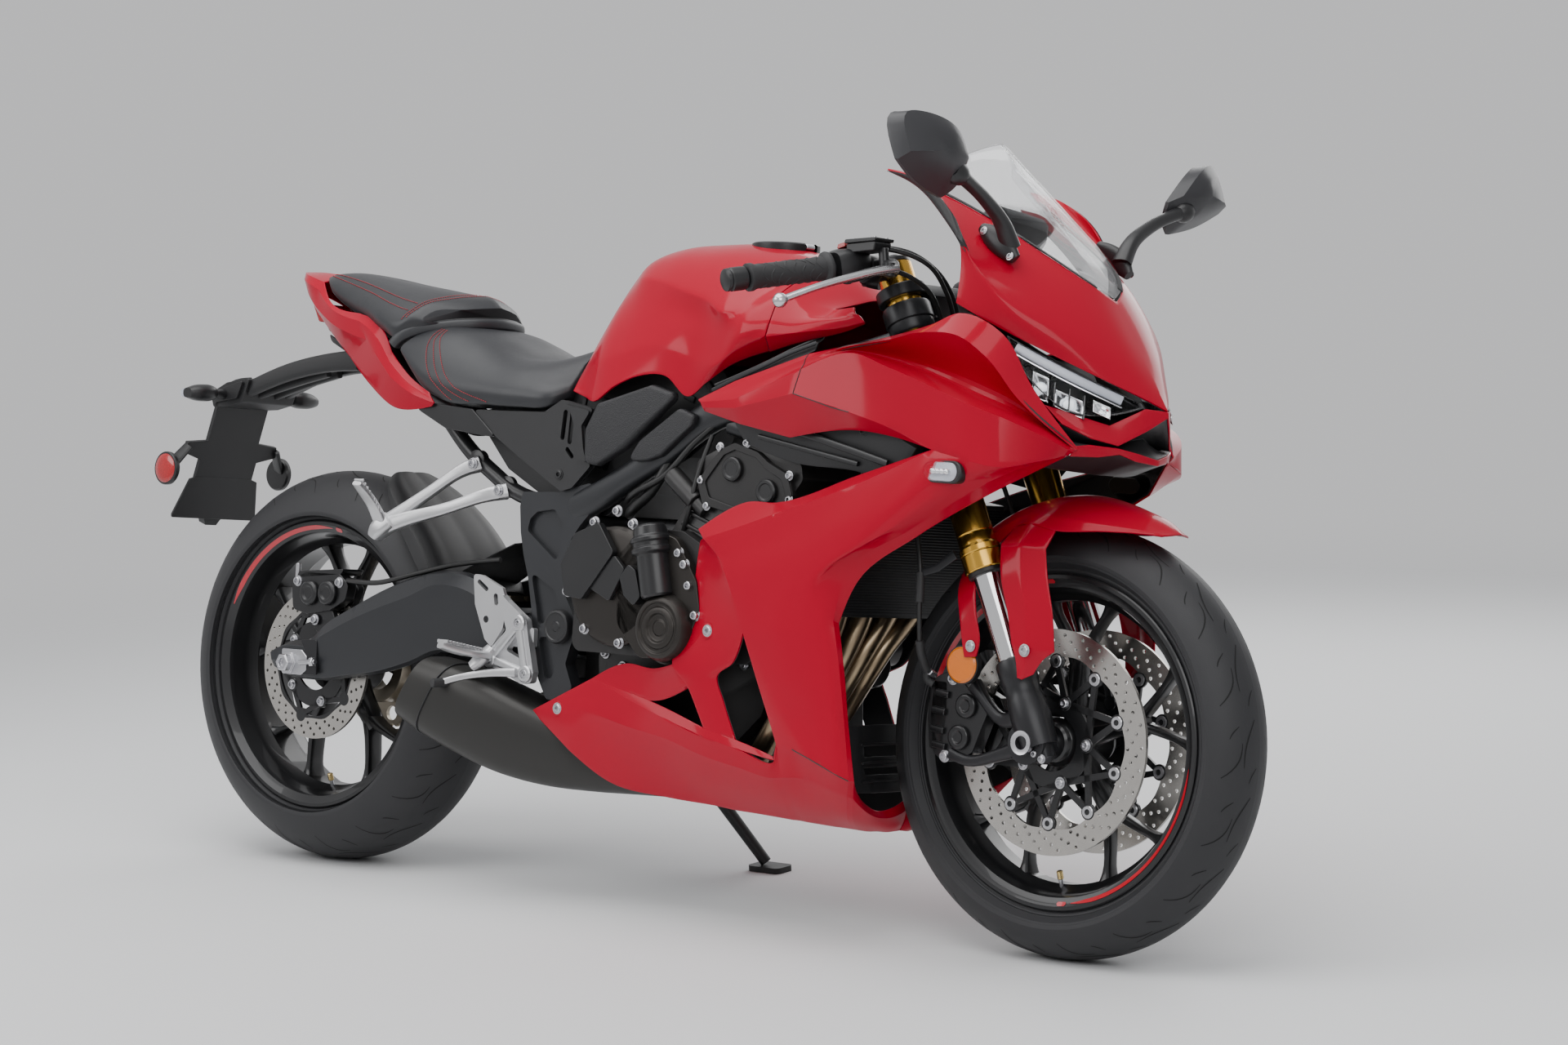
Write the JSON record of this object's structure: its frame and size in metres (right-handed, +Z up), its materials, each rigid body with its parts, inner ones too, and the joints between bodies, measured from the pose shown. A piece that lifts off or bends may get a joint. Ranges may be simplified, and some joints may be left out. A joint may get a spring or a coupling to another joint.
{
  "type": "sport motorcycle",
  "caption": "Full-fairing sport motorcycle leaning on its side stand, with turning wheels, steering, fold-up stand and hinged fuel cap.",
  "frame": {"origin": "centre of the footprint of the whole machine, on the ground it stands on", "axes": "+X to the front of the machine, +Y to the rider's left, +Z up; the machine leans 8.5 degrees to its left"},
  "size_m": [2.1009, 0.7582, 1.1645],
  "materials": {
    "black_plastic": "fine moulded grain",
    "bolt_steel": "zinc plated",
    "caliper_black": "satin black",
    "cap_metal": "satin",
    "cast_silver": "satin cast silver",
    "chain_steel": "oiled steel",
    "clamp_black": "satin black",
    "control_black": "moulded plastic, bright lever",
    "disc_steel": "ground stainless",
    "engine_bronze": "satin bronze brown",
    "engine_dark": "dark cast finish",
    "fork_chrome": "hard chrome sliders, black lugs",
    "fork_gold": "gold anodised",
    "frame_grey": "satin dark grey enamel",
    "grip_rubber": "moulded rubber",
    "header_steel": "heat tinted stainless",
    "hose_rubber": "smooth rubber sleeve",
    "lamp_lens": "clear lens over bright reflectors",
    "radiator_black": "matt black fins",
    "red_lens": "clear red lens",
    "red_paint": "gloss crimson with clear coat",
    "seat_black": "satin grained cover, red double stitching",
    "shock_black": "gloss black",
    "silencer_grey": "matt dark grey",
    "smoked_screen": "lightly smoked clear",
    "stand_black": "satin black",
    "swingarm_grey": "satin dark grey casting",
    "tyre_rubber": "new rubber",
    "wheel_black": "satin black, red rim stripe"
  },
  "bodies": {
    "frame": {"belly_tray": "black_plastic", "chain": "chain_steel", "dash": "black_plastic", "engine": "engine_dark", "engine_covers": "engine_bronze", "exhaust_headers": "header_steel", "foot_pedals": "cast_silver", "front_signals": "lamp_lens", "fuel_tank": "red_paint", "headlights": "lamp_lens", "inner_ducts": "black_plastic", "main_frame": "frame_grey", "mirrors": "black_plastic", "nose_cowl": "red_paint", "pillion_rests": "cast_silver", "pillion_seat": "seat_black", "pivot_bolt": "bolt_steel", "plate_hanger": "black_plastic", "radiator": "radiator_black", "rear_axle": "bolt_steel", "rear_caliper": "caliper_black", "rear_hugger": "black_plastic", "rear_shock": "shock_black", "rear_signals": "black_plastic", "rear_subframe": "frame_grey", "rider_rest_left": "cast_silver", "rider_rest_right": "cast_silver", "rider_seat": "seat_black", "side_covers": "black_plastic", "side_cowl_left": "red_paint", "side_cowl_right": "red_paint", "silencer": "silencer_grey", "swingarm": "swingarm_grey", "tail_cowl": "red_paint", "tail_light": "red_lens", "undertray": "black_plastic", "windscreen": "smoked_screen"},
    "steering": {"triple_clamps": "clamp_black", "fork_tubes": "fork_gold", "fork_legs": "fork_chrome", "handlebars": "grip_rubber", "hand_controls": "control_black", "front_fender": "red_paint", "front_calipers": "caliper_black", "front_axle": "bolt_steel", "brake_hoses": "hose_rubber"},
    "front_wheel": {"front_rim": "wheel_black", "front_tyre": "tyre_rubber", "front_discs": "disc_steel"},
    "rear_wheel": {"rear_rim": "wheel_black", "rear_tyre": "tyre_rubber", "rear_disc": "disc_steel", "rear_sprocket": "bolt_steel"},
    "side_stand": {"side_stand": "stand_black"},
    "fuel_cap": {"fuel_cap": "cap_metal"}
  },
  "joints": [
    {"name": "steering", "type": "hinge", "parent": "frame", "child": "steering", "pos_m": [0.48792, -0.01274, 0.79223], "axis": [-0.4147, 0.1345, 0.9], "range_deg": [-27, 27]},
    {"name": "front_wheel_turn", "type": "hinge", "parent": "steering", "child": "front_wheel", "pos_m": [0.7515, -0.08679, 0.29674], "axis": [0, 0.989, -0.1478], "continuous": true},
    {"name": "rear_wheel_turn", "type": "hinge", "parent": "frame", "child": "rear_wheel", "pos_m": [-0.6985, -0.08457, 0.31157], "axis": [0, 0.989, -0.1478], "continuous": true},
    {"name": "side_stand_fold", "type": "hinge", "parent": "frame", "child": "side_stand", "pos_m": [-0.1235, 0.0374, 0.2347], "axis": [0.112, 0.8899, 0.4422], "range_deg": [0, 110]},
    {"name": "fuel_cap_lift", "type": "hinge", "parent": "frame", "child": "fuel_cap", "pos_m": [0.2275, 0.01446, 0.97421], "axis": [0, 0.989, -0.1478], "range_deg": [0, 95]}
  ]
}
